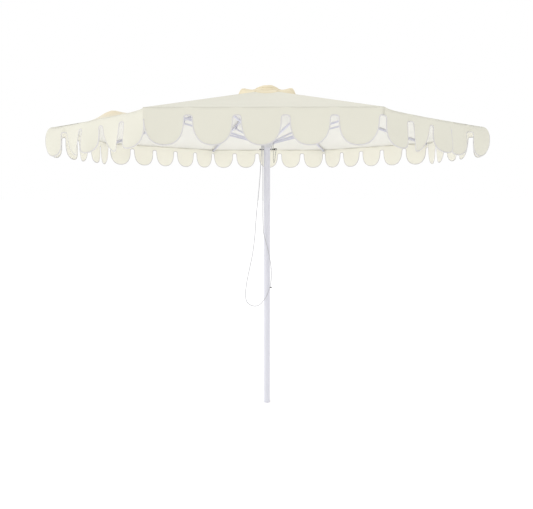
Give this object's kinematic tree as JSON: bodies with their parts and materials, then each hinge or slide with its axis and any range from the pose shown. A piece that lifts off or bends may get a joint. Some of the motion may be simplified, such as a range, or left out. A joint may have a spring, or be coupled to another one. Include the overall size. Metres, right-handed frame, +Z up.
{
  "type": "garden parasol",
  "caption": "Tall octagonal garden parasol with a scalloped hanging valance, folding ribs and struts, a sliding runner, a lock pin and a pulley cord.",
  "frame": {"origin": "middle of the pole's foot", "axes": "+Z up the pole, -Y towards the middle of gore 1, +X towards the lock pin's head"},
  "size_m": [2.772, 2.772, 2.475],
  "materials": {
    "cloth": "plain-weave cream polyester canvas",
    "metal_white": "white powder coat, satin",
    "plastic_white": "moulded, satin",
    "plastic_grey": "moulded, matt",
    "steel": "drawn wire",
    "dark_metal": "black, satin",
    "cord": "braided polyester"
  },
  "bodies": {
    "root": {"pole": "metal_white", "foot_plug": "plastic_grey", "stop_screw": "dark_metal", "top_hub": "plastic_white", "hub_wire": "steel", "cap_support": "plastic_white", "vent_cap": "cloth", "pulley_axle": "steel", "hoist_cord": "cord"},
    "runner": {"runner": "plastic_white", "runner_wire": "steel", "pin_chain": "dark_metal", "pull_cord": "cord"},
    "lock_pin": {"lock_pin": "dark_metal"},
    "pulley": {"pulley_wheel": "plastic_white"},
    "rib_1": {"rib_1": "metal_white", "rib_tip_1": "plastic_grey"},
    "strut_1": {"strut_1": "metal_white"},
    "gore_1": {"gore_1": "cloth"},
    "valance_1": {"valance_1": "cloth"},
    "rib_2": {"rib_2": "metal_white", "rib_tip_2": "plastic_grey"},
    "strut_2": {"strut_2": "metal_white"},
    "gore_2": {"gore_2": "cloth"},
    "valance_2": {"valance_2": "cloth"},
    "rib_3": {"rib_3": "metal_white", "rib_tip_3": "plastic_grey"},
    "strut_3": {"strut_3": "metal_white"},
    "gore_3": {"gore_3": "cloth"},
    "valance_3": {"valance_3": "cloth"},
    "rib_4": {"rib_4": "metal_white", "rib_tip_4": "plastic_grey"},
    "strut_4": {"strut_4": "metal_white"},
    "gore_4": {"gore_4": "cloth"},
    "valance_4": {"valance_4": "cloth"},
    "rib_5": {"rib_5": "metal_white", "rib_tip_5": "plastic_grey"},
    "strut_5": {"strut_5": "metal_white"},
    "gore_5": {"gore_5": "cloth"},
    "valance_5": {"valance_5": "cloth"},
    "rib_6": {"rib_6": "metal_white", "rib_tip_6": "plastic_grey"},
    "strut_6": {"strut_6": "metal_white"},
    "gore_6": {"gore_6": "cloth"},
    "valance_6": {"valance_6": "cloth"},
    "rib_7": {"rib_7": "metal_white", "rib_tip_7": "plastic_grey"},
    "strut_7": {"strut_7": "metal_white"},
    "gore_7": {"gore_7": "cloth"},
    "valance_7": {"valance_7": "cloth"},
    "rib_8": {"rib_8": "metal_white", "rib_tip_8": "plastic_grey"},
    "strut_8": {"strut_8": "metal_white"},
    "gore_8": {"gore_8": "cloth"},
    "valance_8": {"valance_8": "cloth"}
  },
  "joints": [
    {"name": "canopy_fold", "type": "hinge", "parent": "root", "child": "rib_1", "pos_m": [0.01531, -0.03696, 2.42], "axis": [0.9239, 0.3827, 0], "range_deg": [0, 73.2], "deforming": ["hoist_cord"]},
    {"name": "strut_1_turn", "type": "hinge", "parent": "rib_1", "child": "strut_1", "pos_m": [0.28178, -0.68028, 2.23691], "axis": [0.9239, 0.3827, 0], "range_deg": [-148, 0]},
    {"name": "rib_2_fold", "type": "hinge", "parent": "root", "child": "rib_2", "pos_m": [0.03696, -0.01531, 2.42], "axis": [0.3827, 0.9239, 0], "range_deg": [0, 74]},
    {"name": "strut_2_turn", "type": "hinge", "parent": "rib_2", "child": "strut_2", "pos_m": [0.68028, -0.28178, 2.23691], "axis": [0.3827, 0.9239, 0], "range_deg": [-148, 0]},
    {"name": "rib_3_fold", "type": "hinge", "parent": "root", "child": "rib_3", "pos_m": [0.03696, 0.01531, 2.42], "axis": [-0.3827, 0.9239, 0], "range_deg": [0, 74]},
    {"name": "strut_3_turn", "type": "hinge", "parent": "rib_3", "child": "strut_3", "pos_m": [0.68028, 0.28178, 2.23691], "axis": [-0.3827, 0.9239, 0], "range_deg": [-148, 0]},
    {"name": "rib_4_fold", "type": "hinge", "parent": "root", "child": "rib_4", "pos_m": [0.01531, 0.03696, 2.42], "axis": [-0.9239, 0.3827, 0], "range_deg": [0, 74]},
    {"name": "strut_4_turn", "type": "hinge", "parent": "rib_4", "child": "strut_4", "pos_m": [0.28178, 0.68028, 2.23691], "axis": [-0.9239, 0.3827, 0], "range_deg": [-148, 0]},
    {"name": "rib_5_fold", "type": "hinge", "parent": "root", "child": "rib_5", "pos_m": [-0.01531, 0.03696, 2.42], "axis": [-0.9239, -0.3827, 0], "range_deg": [0, 74]},
    {"name": "strut_5_turn", "type": "hinge", "parent": "rib_5", "child": "strut_5", "pos_m": [-0.28178, 0.68028, 2.23691], "axis": [-0.9239, -0.3827, 0], "range_deg": [-148, 0]},
    {"name": "rib_6_fold", "type": "hinge", "parent": "root", "child": "rib_6", "pos_m": [-0.03696, 0.01531, 2.42], "axis": [-0.3827, -0.9239, 0], "range_deg": [0, 74]},
    {"name": "strut_6_turn", "type": "hinge", "parent": "rib_6", "child": "strut_6", "pos_m": [-0.68028, 0.28178, 2.23691], "axis": [-0.3827, -0.9239, 0], "range_deg": [-148, 0]},
    {"name": "rib_7_fold", "type": "hinge", "parent": "root", "child": "rib_7", "pos_m": [-0.03696, -0.01531, 2.42], "axis": [0.3827, -0.9239, 0], "range_deg": [0, 74]},
    {"name": "strut_7_turn", "type": "hinge", "parent": "rib_7", "child": "strut_7", "pos_m": [-0.68028, -0.28178, 2.23691], "axis": [0.3827, -0.9239, 0], "range_deg": [-148, 0]},
    {"name": "rib_8_fold", "type": "hinge", "parent": "root", "child": "rib_8", "pos_m": [-0.01531, -0.03696, 2.42], "axis": [0.9239, -0.3827, 0], "range_deg": [0, 74]},
    {"name": "strut_8_turn", "type": "hinge", "parent": "rib_8", "child": "strut_8", "pos_m": [-0.28178, -0.68028, 2.23691], "axis": [0.9239, -0.3827, 0], "range_deg": [-148, 0]},
    {"name": "runner_lift", "type": "hinge", "parent": "strut_1", "child": "runner", "pos_m": [0.01531, -0.03696, 2.05382], "axis": [0.9239, 0.3827, 0], "range_deg": [0, 74], "deforming": ["pull_cord"]},
    {"name": "gore_1_fold", "type": "hinge", "parent": "root", "child": "gore_1", "pos_m": [0, -0.037, 2.42], "axis": [1, 0, 0], "range_deg": [0, 74], "deforming": ["gore_1"]},
    {"name": "valance_1_hang", "type": "hinge", "parent": "gore_1", "child": "valance_1", "pos_m": [0, -1.38582, 2.105], "axis": [1, 0, 0], "range_deg": [-74, 0], "deforming": ["valance_1"]},
    {"name": "gore_2_fold", "type": "hinge", "parent": "root", "child": "gore_2", "pos_m": [0.02616, -0.02616, 2.42], "axis": [0.7071, 0.7071, 0], "range_deg": [0, 74], "deforming": ["gore_2"]},
    {"name": "valance_2_hang", "type": "hinge", "parent": "gore_2", "child": "valance_2", "pos_m": [0.97992, -0.97992, 2.105], "axis": [0.7071, 0.7071, 0], "range_deg": [-74, 0], "deforming": ["valance_2"]},
    {"name": "gore_3_fold", "type": "hinge", "parent": "root", "child": "gore_3", "pos_m": [0.037, 0, 2.42], "axis": [0, 1, 0], "range_deg": [0, 74], "deforming": ["gore_3"]},
    {"name": "valance_3_hang", "type": "hinge", "parent": "gore_3", "child": "valance_3", "pos_m": [1.38582, 0, 2.105], "axis": [0, 1, 0], "range_deg": [-74, 0], "deforming": ["valance_3"]},
    {"name": "gore_4_fold", "type": "hinge", "parent": "root", "child": "gore_4", "pos_m": [0.02616, 0.02616, 2.42], "axis": [-0.7071, 0.7071, 0], "range_deg": [0, 74], "deforming": ["gore_4"]},
    {"name": "valance_4_hang", "type": "hinge", "parent": "gore_4", "child": "valance_4", "pos_m": [0.97992, 0.97992, 2.105], "axis": [-0.7071, 0.7071, 0], "range_deg": [-74, 0], "deforming": ["valance_4"]},
    {"name": "gore_5_fold", "type": "hinge", "parent": "root", "child": "gore_5", "pos_m": [0, 0.037, 2.42], "axis": [-1, 0, 0], "range_deg": [0, 74], "deforming": ["gore_5"]},
    {"name": "valance_5_hang", "type": "hinge", "parent": "gore_5", "child": "valance_5", "pos_m": [0, 1.38582, 2.105], "axis": [-1, 0, 0], "range_deg": [-74, 0], "deforming": ["valance_5"]},
    {"name": "gore_6_fold", "type": "hinge", "parent": "root", "child": "gore_6", "pos_m": [-0.02616, 0.02616, 2.42], "axis": [-0.7071, -0.7071, 0], "range_deg": [0, 74], "deforming": ["gore_6"]},
    {"name": "valance_6_hang", "type": "hinge", "parent": "gore_6", "child": "valance_6", "pos_m": [-0.97992, 0.97992, 2.105], "axis": [-0.7071, -0.7071, 0], "range_deg": [-74, 0], "deforming": ["valance_6"]},
    {"name": "gore_7_fold", "type": "hinge", "parent": "root", "child": "gore_7", "pos_m": [-0.037, 0, 2.42], "axis": [0, -1, 0], "range_deg": [0, 74], "deforming": ["gore_7"]},
    {"name": "valance_7_hang", "type": "hinge", "parent": "gore_7", "child": "valance_7", "pos_m": [-1.38582, 0, 2.105], "axis": [0, -1, 0], "range_deg": [-74, 0], "deforming": ["valance_7"]},
    {"name": "gore_8_fold", "type": "hinge", "parent": "root", "child": "gore_8", "pos_m": [-0.02616, -0.02616, 2.42], "axis": [0.7071, -0.7071, 0], "range_deg": [0, 74], "deforming": ["gore_8"]},
    {"name": "valance_8_hang", "type": "hinge", "parent": "gore_8", "child": "valance_8", "pos_m": [-0.97992, -0.97992, 2.105], "axis": [0.7071, -0.7071, 0], "range_deg": [-74, 0], "deforming": ["valance_8"]},
    {"name": "pin_slide", "type": "slide", "parent": "runner", "child": "lock_pin", "axis": [1, 0, 0], "range_m": [0, 0.125], "deforming": ["pin_chain"]},
    {"name": "pulley_spin", "type": "hinge", "parent": "root", "child": "pulley", "pos_m": [0, 0, 2.325], "axis": [0, 1, 0], "continuous": true}
  ],
  "couplings": [
    {"joint": "strut_1_turn", "follows": "canopy_fold", "ratio": -2},
    {"joint": "rib_2_fold", "follows": "canopy_fold", "ratio": 1},
    {"joint": "strut_2_turn", "follows": "canopy_fold", "ratio": -2},
    {"joint": "rib_3_fold", "follows": "canopy_fold", "ratio": 1},
    {"joint": "strut_3_turn", "follows": "canopy_fold", "ratio": -2},
    {"joint": "rib_4_fold", "follows": "canopy_fold", "ratio": 1},
    {"joint": "strut_4_turn", "follows": "canopy_fold", "ratio": -2},
    {"joint": "rib_5_fold", "follows": "canopy_fold", "ratio": 1},
    {"joint": "strut_5_turn", "follows": "canopy_fold", "ratio": -2},
    {"joint": "rib_6_fold", "follows": "canopy_fold", "ratio": 1},
    {"joint": "strut_6_turn", "follows": "canopy_fold", "ratio": -2},
    {"joint": "rib_7_fold", "follows": "canopy_fold", "ratio": 1},
    {"joint": "strut_7_turn", "follows": "canopy_fold", "ratio": -2},
    {"joint": "rib_8_fold", "follows": "canopy_fold", "ratio": 1},
    {"joint": "strut_8_turn", "follows": "canopy_fold", "ratio": -2},
    {"joint": "runner_lift", "follows": "canopy_fold", "ratio": 1},
    {"joint": "gore_1_fold", "follows": "canopy_fold", "ratio": 0.985},
    {"joint": "valance_1_hang", "follows": "canopy_fold", "ratio": -0.985},
    {"joint": "gore_2_fold", "follows": "canopy_fold", "ratio": 0.985},
    {"joint": "valance_2_hang", "follows": "canopy_fold", "ratio": -0.985},
    {"joint": "gore_3_fold", "follows": "canopy_fold", "ratio": 0.985},
    {"joint": "valance_3_hang", "follows": "canopy_fold", "ratio": -0.985},
    {"joint": "gore_4_fold", "follows": "canopy_fold", "ratio": 0.985},
    {"joint": "valance_4_hang", "follows": "canopy_fold", "ratio": -0.985},
    {"joint": "gore_5_fold", "follows": "canopy_fold", "ratio": 0.985},
    {"joint": "valance_5_hang", "follows": "canopy_fold", "ratio": -0.985},
    {"joint": "gore_6_fold", "follows": "canopy_fold", "ratio": 0.985},
    {"joint": "valance_6_hang", "follows": "canopy_fold", "ratio": -0.985},
    {"joint": "gore_7_fold", "follows": "canopy_fold", "ratio": 0.985},
    {"joint": "valance_7_hang", "follows": "canopy_fold", "ratio": -0.985},
    {"joint": "gore_8_fold", "follows": "canopy_fold", "ratio": 0.985},
    {"joint": "valance_8_hang", "follows": "canopy_fold", "ratio": -0.985}
  ]
}
